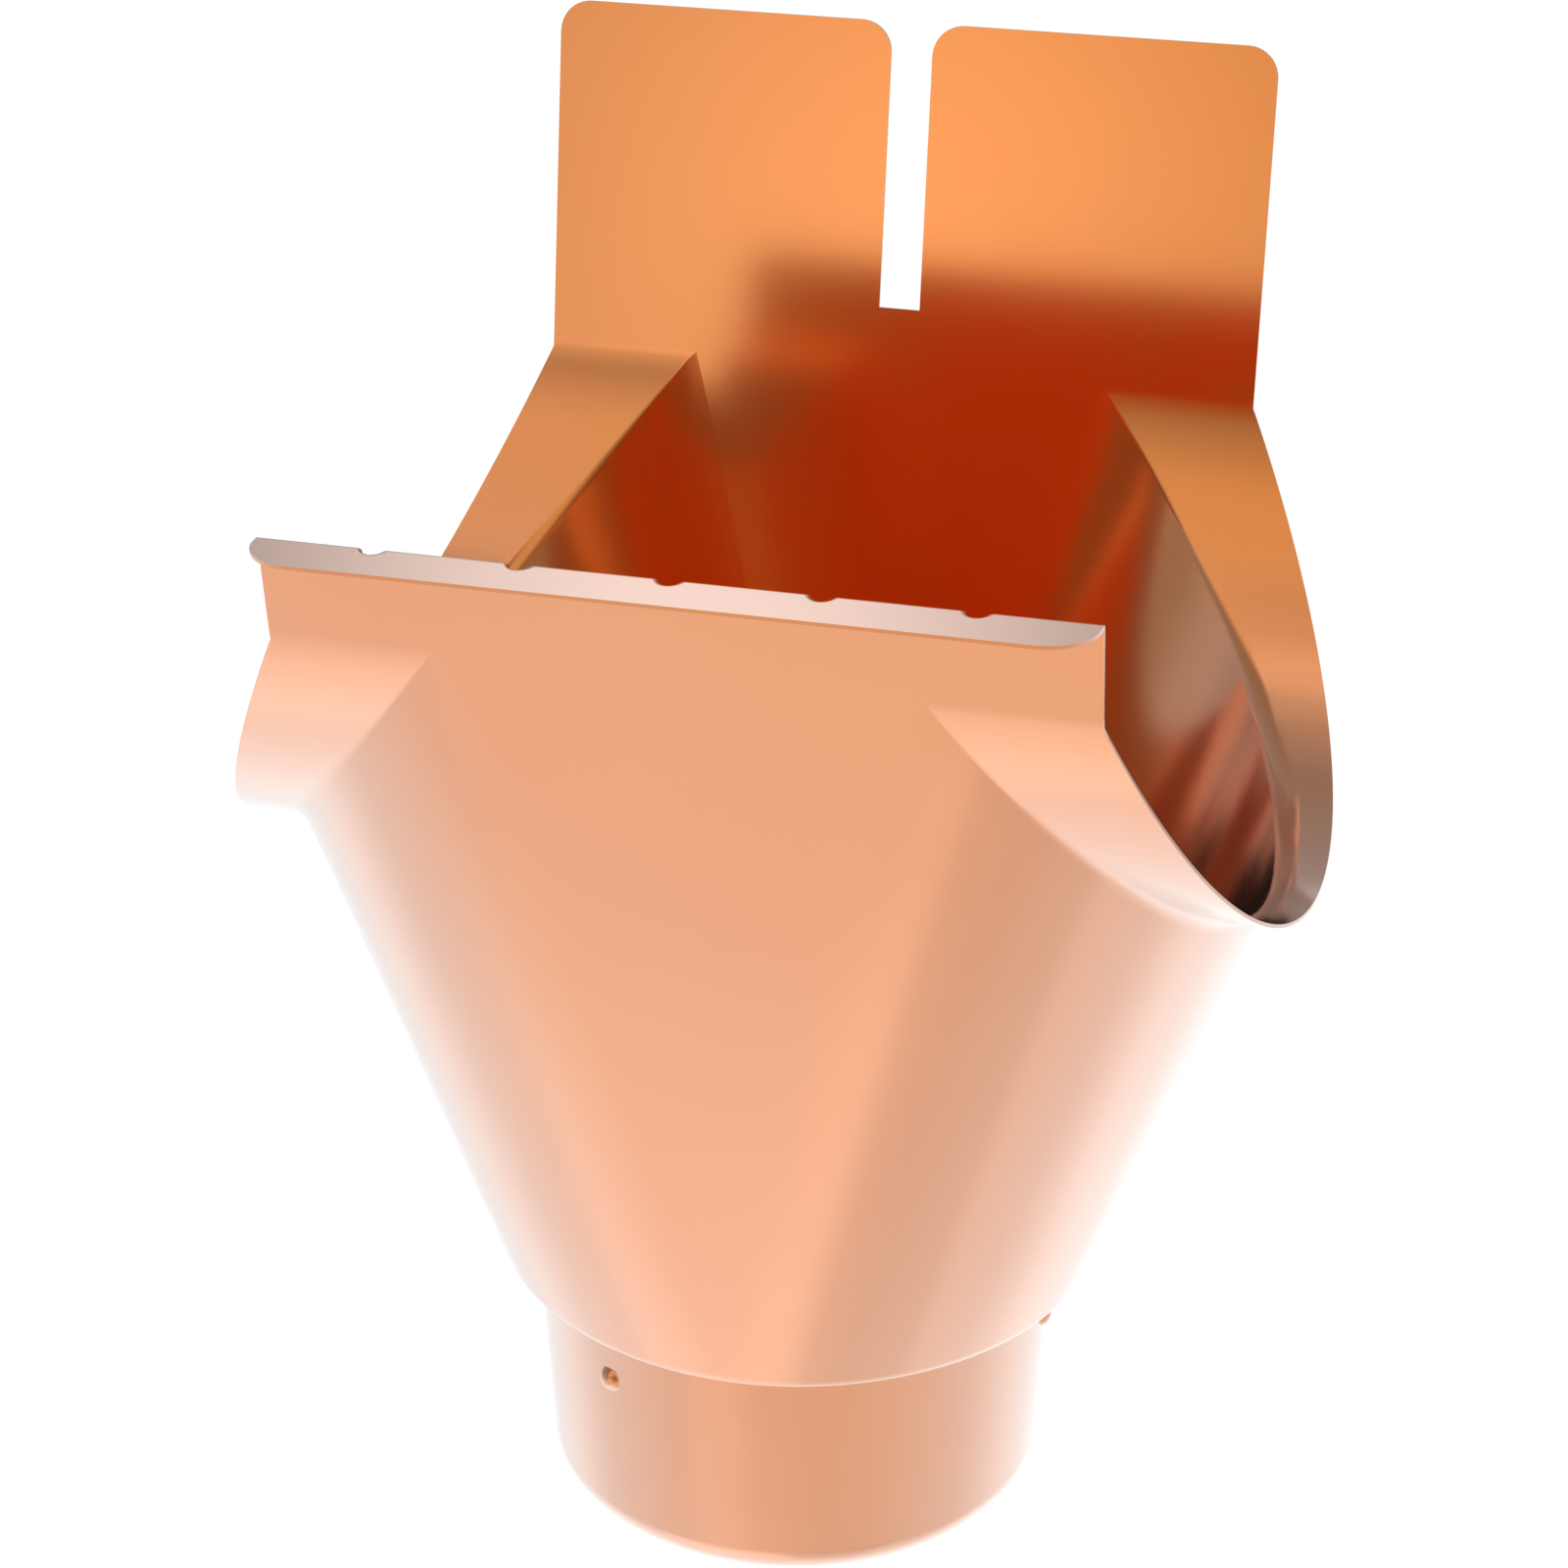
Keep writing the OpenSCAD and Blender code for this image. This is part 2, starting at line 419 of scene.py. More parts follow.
    def lug_outline(self) -> Points:
        """Draws the outline of both lugs and the slot between them.

        Returns:
            Points of X and height, from +X to -X.
        """
        r, top = self.lug_corner, self.lug_top - self.sheet * math.sin(self.lean)
        quarter = math.pi / 2
        outer = arc((self.wall_half - r, top - r), r, 0, quarter, CELLS.lug_corner)
        inner = arc((self.slot_half + r, top - r), r, quarter, 2 * quarter, CELLS.lug_corner)
        half = np.concatenate([outer, inner, [[self.slot_half, -self.slot_drop]]])
        return np.concatenate([half, half[::-1] * MIRROR[:2]])


@dataclass(frozen=True)
class Funnel:
    """Drawn funnel from the seat's slanted ridges to the oval shoulder over the spigot.

    Its flat walls blend into the sides over a width of about blend, which fades out over the
    share blend_top of each strip of sheet at the crease and blend_foot at the shoulder.
    """

    seat: Seat
    drop: float = 166.7
    crease: float = 4.4
    ledge: float = 3.5
    shoulder: float = 4.4
    shoulder_front: float = 0.9
    spigot_radius: float = 50.0
    blend: float = 4.0
    blend_top: float = 0.1
    blend_foot: float = 0.3
    search_rounds: int = 9
    search_cells: int = 30
    search_narrowing: float = 6.0

    @property
    def ring(self) -> tuple[float, float, float]:
        """Half width, half depth and height of the shoulder's centre line."""
        height = self.shoulder - self.drop
        depth = self.seat.wall_y(height, self.seat.sheet) - self.shoulder_front
        return self.spigot_radius + self.ledge, depth, height

    def shoulder_point(self, around: Any, turn: Any) -> Points:
        """Finds points of the rounded shoulder.

        Args:
            around: Direction round the shoulder, in radians from +X.
            turn: Turn over its edge, from upright at zero to level at a quarter turn.

        Returns:
            The points, with X, Y and Z along the last axis.
        """
        x, y, z = self.ring
        cos = np.cos(turn)
        return np.stack([
            (x + self.shoulder * cos) * np.cos(around),
            (y + self.shoulder_front * cos) * np.sin(around),
            z - self.shoulder * np.sin(turn) + 0 * around,
        ], -1)

    def ridge(self, angle: float) -> tuple[Points, Points]:
        """Finds a point of the ridge and the ridge's direction there.

        Args:
            angle: Place on the ridge, from the seat's lowest line.

        Returns:
            The point and the direction.
        """
        height = -self.seat.outer * math.cos(angle)
        point = np.array([self.seat.ridge_x(height), self.seat.outer * math.sin(angle), height])
        slope = math.tan(self.seat.ridge_slant)
        along = unit(np.array([-slope * math.sin(angle), math.cos(angle), math.sin(angle)]))
        return point, along

    def touch(self, angle: float) -> tuple[float, float]:
        """Finds where the flat strip of sheet that leaves the ridge touches the shoulder.

        It is the point that swings furthest out, seen from the ridge. Each round looks at a grid
        of points and narrows the search to those round the best one.

        Args:
            angle: Place on the ridge, from the seat's lowest line.

        Returns:
            Direction round the shoulder and turn over its edge.
        """
        point, along = self.ridge(angle)
        inward = np.array([0, 0, self.ring[2]]) - point
        inward = unit(inward - (inward @ along) * along)
        outward = np.cross(inward, along)
        low = np.array([-math.pi / 2, 0.0])
        high = np.array([math.pi / 2, math.pi / 2])
        floor, ceiling = low.copy(), high.copy()
        for _ in range(self.search_rounds):
            around = np.linspace(low[0], high[0], self.search_cells + 1)[:, None]
            turn = np.linspace(low[1], high[1], self.search_cells + 1)[None, :]
            spread = self.shoulder_point(around + 0 * turn, turn + 0 * around) - point
            swing = np.arctan2(spread @ outward, spread @ inward)
            i, j = np.unravel_index(np.argmax(swing), swing.shape)
            best = np.array([around[i, 0], turn[0, j]])
            reach = (high - low) / self.search_narrowing
            low, high = np.maximum(best - reach, floor), np.minimum(best + reach, ceiling)
        return float(best[0]), float(best[1])

    def crease_rows(self, angle: float, foot: Points, cells: int) -> Points:
        """Rolls the crease from the collar to the funnel at one place of the ridge.

        Args:
            angle: Place on the ridge.
            foot: Where the strip of sheet from here ends on the shoulder.
            cells: How many steps the roll is divided into.

        Returns:
            Points from the collar to the funnel.
        """
        point, along = self.ridge(angle)
        collar = np.array([1.0, 0.0, 0.0])
        down = unit(foot - point)
        run_collar, run_funnel = collar @ along, down @ along
        out = unit(collar - run_collar * along)
        into = unit(down - run_funnel * along)
        half = math.acos(float(np.clip(-out @ into, -1, 1))) / 2
        bisector, across = unit(out + into), unit(into - out)
        centre = point + self.crease / math.cos(half) * bisector
        tangent = self.crease * math.tan(half)
        skew_collar = tangent * run_collar / math.sqrt(1 - run_collar ** 2)
        skew_funnel = tangent * run_funnel / math.sqrt(1 - run_funnel ** 2)
        rows = []
        for share in even(cells):
            turn = (2 * share - 1) * half
            rolled = self.crease * (math.sin(turn) * across - math.cos(turn) * bisector)
            skew = skew_collar + (skew_funnel - skew_collar) * share
            rows.append(centre + rolled + skew * along)
        return np.array(rows)

    def eased(self, wall: Points) -> Points:
        """Draws the flat walls softly into the sides by averaging each row along its length.

        Args:
            wall: Rows by columns by three, from the middle of the front to that of the rear.

        Returns:
            The same rows, with the first and the last unchanged.
        """
        weights = np.exp(-BELL ** 2 / 2)
        made = [wall[0]]
        for row, share in zip(wall[1:-1], RULING_SHARES[1:-1]):
            width = self.blend * min(1, share / self.blend_top, (1 - share) / self.blend_foot)
            image = row[::-1] * MIRROR
            whole = np.concatenate([image[:-1], row, image[1:]])
            along = np.append(0, np.cumsum(np.linalg.norm(np.diff(whole, axis=0), axis=1)))
            places = along[len(row) - 1:2 * len(row) - 1, None] + BELL * width
            spread = np.stack([np.interp(places, along, whole[:, k]) for k in range(3)], -1)
            made.append(np.average(spread, axis=1, weights=weights))
        return np.array([*made, wall[-1]])

    def columns(self, cells: int) -> tuple[Points, Points, Points]:
        """Lays out the columns of one half, at +X, from the front wall to the rear one.

        Args:
            cells: How many steps the collar is divided into along its edge.

        Returns:
            The collar and crease, the funnel with its flat walls, and the shoulder, as rows by
            columns.
        """
        angles = self.seat.angles(cells)
        touches = np.array([self.touch(a) for a in angles])
        feet = self.shoulder_point(touches[:, 0], touches[:, 1])
        crease = np.stack([self.crease_rows(a, f, CELLS.crease) for a, f in zip(angles, feet)], 1)
        height = -self.seat.outer * np.cos(angles)
        edge = np.stack([self.seat.edge_x(height), self.seat.outer * np.sin(angles), height], -1)
        collar = between(edge, crease[0], even(CELLS.collar))
        quarter = math.pi / 2
        front, rear = (
            [(end + (near[0] - end) * s, near[1]) for s in even(CELLS.wall_end)[:-1]]
            for end, near in ((-quarter, touches[0]), (quarter, touches[-1]))
        )
        turns = np.array([*front, *touches, *rear[::-1]])
        first, last = [crease[-1][0]] * CELLS.wall_end, [crease[-1][-1]] * CELLS.wall_end
        tops = np.concatenate([first, crease[-1], last])
        sides = between(tops, self.shoulder_point(turns[:, 0], turns[:, 1]), RULING_SHARES)
        flats = []
        for corner in (sides[:, :1], sides[:, -1:]):
            middle = corner * TO_MIDDLE
            flats.append(middle + (corner - middle) * FLAT_SHARES[:-1, None])
        wall = self.eased(np.concatenate([flats[0], sides, flats[1][:, ::-1]], 1))
        shoulder = [
            self.shoulder_point(turns[:, 0], turns[:, 1] + (quarter - turns[:, 1]) * s)
            for s in even(CELLS.shoulder)
        ]
        return np.concatenate([collar, crease[1:]]), wall, np.array(shoulder)


@dataclass(frozen=True)
class Spigot:
    """Tapered spigot below the ledge, with its drawn-in rim and the places of its pips."""

    radius: float = 50.0
    length: float = 47.0
    taper: float = math.radians(3.3)
    lead: float = 7.5
    lead_turn: float = math.radians(65)
    root: float = 0.5
    pip: float = 5.0
    pip_rise: float = 1.5
    pip_drop: float = 10.3
    pips: int = 3
    pip_turn: float = math.radians(-120)

    @property
    def lead_centre(self) -> tuple[float, float]:
        """Radius and height, above the rim, of the centre of the drawn-in lead."""
        height = self.lead * math.sin(self.lead_turn)
        rise = self.length - height + self.lead * math.sin(self.taper)
        return self.radius - rise * math.tan(self.taper) - self.lead * math.cos(self.taper), height

    @property
    def pip_height(self) -> float:
        """Height of the pips' middles above the rim."""
        return self.length - self.pip_drop

    def pip_spots(self) -> Points:
        """Finds the middles of the pips on the outer face.

        Returns:
            One point for each pip, with heights above the rim.
        """
        radius = self.radius - self.pip_drop * math.tan(self.taper)
        turn = self.pip_turn + np.arange(self.pips) * 2 * math.pi / self.pips
        up = np.full(self.pips, self.pip_height)
        return np.stack([radius * np.cos(turn), radius * np.sin(turn), up], -1)

    def profile(self) -> Points:
        """Draws the outer face from the ledge to the rim.

        Returns:
            Points of radius and height above the rim.
        """
        centre = self.lead_centre
        lead = arc(centre, self.lead, -self.taper, -self.lead_turn, CELLS.lead)
        root_z = self.length - self.root
        rise = (root_z - lead[0][1]) * math.tan(self.taper)
        root_x = lead[0][0] + rise + self.root / math.cos(self.taper)
        root = arc((root_x, root_z), self.root, math.pi / 2, math.pi - self.taper, CELLS.root)
        wall = between(root[-1], lead[0], even(CELLS.spigot))[1:-1]
        return np.concatenate([root, wall, lead])

    def rows(self, rim: Points, drop: float) -> Points:
        """Lays out rows from the shoulder's lower edge over the ledge to the spigot's rim.

        Args:
            rim: The shoulder's lower edge, at its columns.
            drop: Depth of the ledge below the gutter's axis.

        Returns:
            Points as rows by columns by three.
        """
        way = unit(rim[:, :2])
        around = [
            np.concatenate([way * r, np.full((len(way), 1), z - drop - self.length)], 1)
            for r, z in self.profile()
        ]
        ledge = between(rim, around[0], even(CELLS.ledge))
        return np.concatenate([ledge, around[1:]])


def start_press(
    name: str, sizes: Iterable[str], spots: Iterable[str] = ()
) -> tuple[bpy.types.NodeTree, Any]:
    """Starts a Geometry Nodes tree that presses a form into the sheet's outer face.

    Args:
        name: Name of the tree.
        sizes: Names of its inputs that take a number.
        spots: Names of its inputs that take a point.

    Returns:
        The tree and the sockets that carry its inputs, Sheet and Copper among them.
    """
    tree = bpy.data.node_groups.new(name, "GeometryNodeTree")
    kinds = {"Sheet": "Geometry", **dict.fromkeys(sizes, "Float")}
    kinds.update(dict.fromkeys(spots, "Vector"))
    kinds["Copper"] = "Material"
    for label, kind in kinds.items():
        tree.interface.new_socket(label, in_out="INPUT", socket_type=f"NodeSocket{kind}")
    tree.interface.new_socket("Sheet", in_out="OUTPUT", socket_type="NodeSocketGeometry")
    return tree, tree.nodes.new("NodeGroupInput").outputs


def end_press(
    tree: bpy.types.NodeTree, given: Any, near: bpy.types.NodeSocket, move: bpy.types.NodeSocket
) -> None:
    """Ends such a tree by moving points, realizing the sheet and giving it its material.

    Args:
        tree: The tree.
        given: The sockets that carry its inputs.
        near: Says which points are moved.
        move: How far each of them moves.
    """
    pressed = add_node(
        tree, "GeometryNodeSetPosition", Geometry=given["Sheet"], Selection=near, Offset=move
    ).outputs[0]
    whole = add_node(tree, "GeometryNodeRealizeInstances", Geometry=pressed).outputs[0]
    dressed = add_node(
        tree, "GeometryNodeSetMaterial", Geometry=whole, Material=given["Copper"]
    ).outputs[0]
    tree.links.new(dressed, tree.nodes.new("NodeGroupOutput").inputs[0])


@dataclass(frozen=True)
class FlangeDents:
    """Round dents pressed across the bend under the flange, repeated along it.

    Points further from the bend than reach, or from a dent's middle than side_reach, both in
    radii of a dent, stay where they are.
    """

    seat: Seat
    lift: float
    softness: float = 0.18
    reach: float = 2.0
    side_reach: float = 1.3

    def tree(self) -> bpy.types.NodeTree:
        """Builds the node tree that presses the dents into the sheet's outer face.

        Each dent is the side of a rod laid across the bend at 45 degrees. A point inside the rod
        is pushed out to its side, and the dent's edge is eased over the softness.

        Returns:
            The tree.
        """
        tree, given = start_press(
            "flange_dents", ("Count", "Pitch", "Radius", "Softness"), ("Corner",)
        )
        maths = partial(add_maths, tree)
        slant = math.sqrt(0.5)
        place = add_node(tree, "GeometryNodeInputPosition").outputs[0]
        offset = add_node(
            tree, "ShaderNodeVectorMath", {"operation": "SUBTRACT"}, i0=place, i1=given["Corner"]
        ).outputs[0]
        split = add_node(tree, "ShaderNodeSeparateXYZ", Vector=offset).outputs
        last = maths("SUBTRACT", given["Count"], 1.0)
        half = maths("MULTIPLY", last, 0.5)
        spot = maths("ROUND", maths("ADD", maths("DIVIDE", split["X"], given["Pitch"]), half))
        spot = maths("MINIMUM", maths("MAXIMUM", spot, 0.0), last)
        middle = maths("MULTIPLY", maths("SUBTRACT", spot, half), given["Pitch"])
        aside = maths("SUBTRACT", split["X"], middle)
        square = maths("SUBTRACT", maths("POWER", given["Radius"], 2.0), maths("POWER", aside, 2.0))
        depth = maths("SQRT", maths("MAXIMUM", square, 0.0))
        reached = maths("MULTIPLY", maths("ADD", split["Y"], split["Z"]), -slant)
        short = maths("SUBTRACT", depth, reached)
        soft = given["Softness"]
        eased = maths("MAXIMUM", maths("ADD", short, soft), 0.0)
        eased = maths("MINIMUM", eased, maths("MULTIPLY", soft, 2.0))
        eased = maths("DIVIDE", maths("POWER", eased, 2.0), maths("MULTIPLY", soft, 4.0))
        push = maths("ADD", eased, maths("MAXIMUM", maths("SUBTRACT", short, soft), 0.0))
        push = maths("MULTIPLY", push, -slant)
        move = add_node(tree, "ShaderNodeCombineXYZ", Y=push, Z=push).outputs[0]
        away = maths("ADD", maths("POWER", split["Y"], 2.0), maths("POWER", split["Z"], 2.0))
        far, side = (maths("MULTIPLY", given["Radius"], r) for r in (self.reach, self.side_reach))
        near = maths("LESS_THAN", maths("SQRT", away), far)
        inside = maths("LESS_THAN", maths("ABSOLUTE", aside), side)
        end_press(tree, given, maths("MULTIPLY", near, inside), move)
        return tree

    def press(self, piece: bpy.types.Object, copper: bpy.types.Material) -> None:
        """Adds the dents to a piece as a modifier.

        Args:
            piece: The sheet's outer face.
            copper: Its material.
        """
        seat = self.seat
        corner = (0.0, -seat.wall_y(seat.flange_rise, 0) * MM, (self.lift + seat.flange_rise) * MM)
        values = {
            "Count": float(seat.dents),
            "Pitch": seat.dent_pitch * MM,
            "Radius": (seat.dent_radius + seat.sheet) * MM,
            "Softness": self.softness * MM,
            "Corner": corner,
            "Copper": copper,
        }
        attach_tree(piece, self.tree(), values)


@dataclass(frozen=True)
class SpigotPips:
    """Round pips pressed outwards near the spigot's top, equally spaced round it.

    Points whose squared distance from a pip's middle is over reach_square squared radii stay
    where they are.
    """

    spigot: Spigot
    softness: float = 0.12
    reach_square: float = 1.7

    def tree(self) -> bpy.types.NodeTree:
        """Builds the node tree that raises the pips from the sheet's outer face.

        Each pip is the cap of a ball, and its foot is eased over the softness.

        Returns:
            The tree.
        """
        sizes = ("Count", "Turn", "Height", "Ring Radius", "Radius", "Rise", "Softness")
        tree, given = start_press("spigot_pips", sizes)
        maths = partial(add_maths, tree)
        place = add_node(tree, "GeometryNodeInputPosition").outputs[0]
        split = add_node(tree, "ShaderNodeSeparateXYZ", Vector=place).outputs
        step = maths("DIVIDE", 2 * math.pi, given["Count"])
        turn = maths("SUBTRACT", maths("ARCTAN2", split["Y"], split["X"]), given["Turn"])
        nearest = maths("MULTIPLY", maths("ROUND", maths("DIVIDE", turn, step)), step)
        aside = maths("MULTIPLY", maths("SUBTRACT", turn, nearest), given["Ring Radius"])
        above = maths("SUBTRACT", split["Z"], given["Height"])
        away = maths("ADD", maths("POWER", aside, 2.0), maths("POWER", above, 2.0))
        wide = maths("POWER", given["Radius"], 2.0)
        both = maths("ADD", wide, maths("POWER", given["Rise"], 2.0))
        ball = maths("DIVIDE", both, maths("MULTIPLY", given["Rise"], 2.0))
        square = maths("SUBTRACT", maths("POWER", ball, 2.0), away)
        crown = maths("SQRT", maths("MAXIMUM", square, 0.0))
        cap = maths("SUBTRACT", crown, maths("SUBTRACT", ball, given["Rise"]))
        raised = maths("SMOOTH_MAX", cap, 0.0, given["Softness"])
        outwards = add_node(tree, "GeometryNodeInputNormal").outputs[0]
        move = add_node(
            tree, "ShaderNodeVectorMath", {"operation": "SCALE"}, Vector=outwards, Scale=raised
        ).outputs[0]
        near = maths("LESS_THAN", away, maths("MULTIPLY", wide, self.reach_square))
        end_press(tree, given, near, move)
        return tree

    def press(self, piece: bpy.types.Object, copper: bpy.types.Material) -> None:
        """Adds the pips to a piece as a modifier.

        Args:
            piece: The sheet's outer face.
            copper: Its material.
        """
        spigot = self.spigot
        values = {
            "Count": float(spigot.pips),
            "Turn": spigot.pip_turn,
            "Height": spigot.pip_height * MM,
            "Ring Radius": spigot.radius * MM,
            "Radius": spigot.pip / 2 * MM,
            "Rise": spigot.pip_rise * MM,
            "Softness": self.softness * MM,
            "Copper": copper,
        }
        attach_tree(piece, self.tree(), values)


def attach_tree(piece: bpy.types.Object, tree: bpy.types.NodeTree, values: dict[str, Any]) -> None:
    """Adds a node tree to a piece and sets its inputs by their identifiers.

    Args:
        piece: The object that gets the modifier.
        tree: The geometry node tree.
        values: What each named input is set to.
    """
    modifier = piece.modifiers.new(tree.name, "NODES")
    modifier.node_group = tree
    for item in tree.interface.items_tree:
        if item.in_out == "INPUT" and item.name in values:
            modifier[item.identifier] = values[item.name]


@dataclass(frozen=True)
class SatinCopper:
    """Bare cold-rolled copper, cleaned to a satin before it was drawn.

    The eye sees blurred reflections, a bright bloom where the sheet turns away, a faint rolled
    grain and slow changes of tone. The clouds of tone also swing the roughness, and the grain is
    drawn out along X, the way the sheet was rolled. Its size and height are in millimetres.
    """

    metal: str = "#E38D4A"
    warm: str = "#E08846"
    bloom: str = "#EBEBEB"
    bloom_blend: float = 0.40
    roughness: float = 0.14
    roughness_swing: float = 0.015
    cloud_mm: float = 60.0
    cloud_low: float = 0.3
    cloud_high: float = 0.7
    grain_mm: float = 0.5
    grain_squeeze: float = 0.12
    grain_strength: float = 0.02
    grain_height_mm: float = 0.02

    def material(self) -> bpy.types.Material:
        """Builds the material.

        Returns:
            The material.
        """
        made = bpy.data.materials.new("satin_copper_sheet")
        made.use_nodes = True
        tree = made.node_tree
        tree.nodes.clear()
        place = add_node(tree, "ShaderNodeTexCoord").outputs["Object"]
        cloud = add_node(
            tree, "ShaderNodeTexNoise", Vector=place, Scale=1 / (self.cloud_mm * MM),
            Detail=3.0, Roughness=0.5,
        ).outputs["Fac"]
        tone = add_node(tree, "ShaderNodeValToRGB", Fac=cloud)
        stops = ((self.cloud_low, self.warm), (self.cloud_high, self.metal))
        for stop, (position, colour) in zip(tone.color_ramp.elements, stops):
            stop.position = position
            stop.color = linear(colour)
        rolled = add_node(
            tree, "ShaderNodeMapping", {"vector_type": "POINT"}, Vector=place,
            Scale=(self.grain_squeeze, 1.0, 1.0),
        ).outputs[0]
        grain = add_node(
            tree, "ShaderNodeTexNoise", Vector=rolled, Scale=1 / (self.grain_mm * MM),
            Detail=2.0, Roughness=0.6,
        ).outputs["Fac"]
        dull = add_node(
            tree, "ShaderNodeMapRange", Value=cloud,
            From_Min=self.cloud_low, From_Max=self.cloud_high,
            To_Min=self.roughness - self.roughness_swing,
            To_Max=self.roughness + self.roughness_swing,
        ).outputs[0]
        bump = add_node(
            tree, "ShaderNodeBump", Strength=self.grain_strength,
            Distance=self.grain_height_mm * MM, Height=grain,
        ).outputs[0]
        copper, bright = (
            add_node(
                tree, "ShaderNodeBsdfPrincipled", Base_Color=colour, Metallic=1.0,
                Roughness=dull, Normal=bump,
            ).outputs[0]
            for colour in (tone.outputs[0], linear(self.bloom))
        )
        glancing = add_node(
            tree, "ShaderNodeLayerWeight", Blend=self.bloom_blend
        ).outputs["Facing"]
        both = add_node(tree, "ShaderNodeMixShader", i0=glancing, i1=copper, i2=bright).outputs[0]
        add_node(tree, "ShaderNodeOutputMaterial", Surface=both)
        return made


@dataclass(frozen=True)
class DrawnOutlet:
    """The whole outlet: one sheet with its seat, funnel and spigot.

    The mesh is finer round each pip, up to pip_reach widths of a pip from its middle. Edges
    sharper than sharp_angle stay crisp, and face_weight is how much large faces set the normals.
    """

    seat: Seat
    funnel: Funnel
    spigot: Spigot
    finish: SatinCopper
    pip_reach: float = 1.3
    sharp_angle: float = math.radians(38)
    face_weight: int = 60

    @property
    def lift(self) -> float:
        """Height of the gutter's axis above the spigot's rim."""
        return self.funnel.drop + self.spigot.length

    def outer_face(self) -> bpy.types.Mesh:
        """Lays out the sheet's outer face.

        The front wall above the funnel, and the rear wall with its lugs, are one flat face each.

        Returns:
            The mesh of the face, without thickness.
        """
        face = SheetFace()
        collar, funnel, shoulder = self.funnel.columns(CELLS.ridge)
        face.strip(collar)
        face.strip(funnel)
        face.strip(shoulder)
        face.strip(self.spigot.rows(shoulder[-1], self.funnel.drop))
        flange = self.seat.flange_rows()
        face.strip(flange, both_sides=False)
        lugs = self.seat.on_wall(Side.REAR, self.seat.lug_outline())
        flats = len(FLAT_SHARES) - 1
        for column, top in ((0, flange[-1][::-1]), (-1, lugs)):
            kink = collar[:, column]
            foot = (funnel[0] if column == 0 else funnel[0][::-1])[:flats]
            mirrored = [kink * MIRROR, foot[::-1] * MIRROR]
            face.outline(np.concatenate([*mirrored, foot[1:], kink[::-1], top]))
        reach = self.pip_reach * self.spigot.pip
        return face.mesh("drawn_sheet", self.lift, self.spigot.pip_spots(), reach)

    def build(self) -> bpy.types.Object:
        """Builds, presses, thickens and dresses the sheet.

        Returns:
            The finished piece, as a plain mesh.
        """
        copper = self.finish.material()
        piece = bpy.data.objects.new("drawn_sheet", self.outer_face())
        bpy.context.scene.collection.objects.link(piece)
        FlangeDents(self.seat, self.lift).press(piece, copper)
        SpigotPips(self.spigot).press(piece, copper)
        wall = piece.modifiers.new("thickness", "SOLIDIFY")
        wall.thickness = self.seat.sheet * MM
        wall.offset = -1.0
        wall.use_even_offset = True
        freeze(piece)
        piece.data.shade_smooth()
        piece.data.set_sharp_from_angle(angle=self.sharp_angle)
        normals = piece.modifiers.new("even_normals", "WEIGHTED_NORMAL")
        normals.keep_sharp = True
        normals.weight = self.face_weight
        freeze(piece)
        return piece


def freeze(piece: bpy.types.Object) -> None:
    """Turns a piece's modifiers into a plain mesh.

    Args:
        piece: The piece, which keeps its name and loses its modifiers.
    """
    graph = bpy.context.evaluated_depsgraph_get()
    mesh = bpy.data.meshes.new_from_object(piece.evaluated_get(graph), depsgraph=graph)
    old = piece.data
    piece.modifiers.clear()
    piece.data = mesh
    mesh.name = piece.name
    bpy.data.meshes.remove(old)


@dataclass(frozen=True)
class ProductCamera:
    """The camera that took the product picture, in millimetres and radians.

    Across and up say how far the gutter's axis lies to the right of and above the middle of its
    view. The focal length is in pixels of the picture, and the clip distances are in metres.
    """

    azimuth: float = math.radians(15.023)
    elevation: float = math.radians(25.574)
    distance: float = 692.643
    across: float = 2.2945
    up: float = 63.1114
    focal_pixels: float = 4010.14
    picture: float = 1600.0
    sensor: float = 36.0
    clip_near: float = 0.01
    clip_far: float = 50.0

    def place(self, lift: float) -> None:
        """Adds the camera to the scene.

        Args:
            lift: Height of the gutter's axis, which the camera was measured from.
        """
        sin, cos = math.sin, math.cos
        back = Vector((sin(self.azimuth) * cos(self.elevation),
                       -cos(self.azimuth) * cos(self.elevation), sin(self.elevation)))
        right = Vector((0, 0, 1)).cross(back).normalized()
        above = back.cross(right)
        turn = Matrix((right, above, back)).transposed()
        shift = Vector((self.across, self.up, -self.distance))
        spot = -(turn @ shift) + Vector((0, 0, lift))
        lens = bpy.data.cameras.new("product_camera")
        lens.sensor_width = self.sensor
        lens.lens = self.focal_pixels / self.picture * lens.sensor_width
        lens.clip_start = self.clip_near
        lens.clip_end = self.clip_far
        camera = bpy.data.objects.new("product_camera", lens)
        camera.matrix_world = Matrix.Translation(spot * MM) @ turn.to_4x4()
        bpy.context.scene.collection.objects.link(camera)
        bpy.context.scene.camera = camera


@dataclass(frozen=True)
class SoftPanel:
    """A soft-edged patch of the surround, brighter or darker than the rest of it.

    It is placed by its direction from the object, in degrees: azimuth is zero towards the front
    and grows to the right. A negative gain makes a shade.
    """

    azimuth: float
    half_width: float
    side_softness: float
    elevation: float
    half_height: float
    level_softness: float
    gain: float


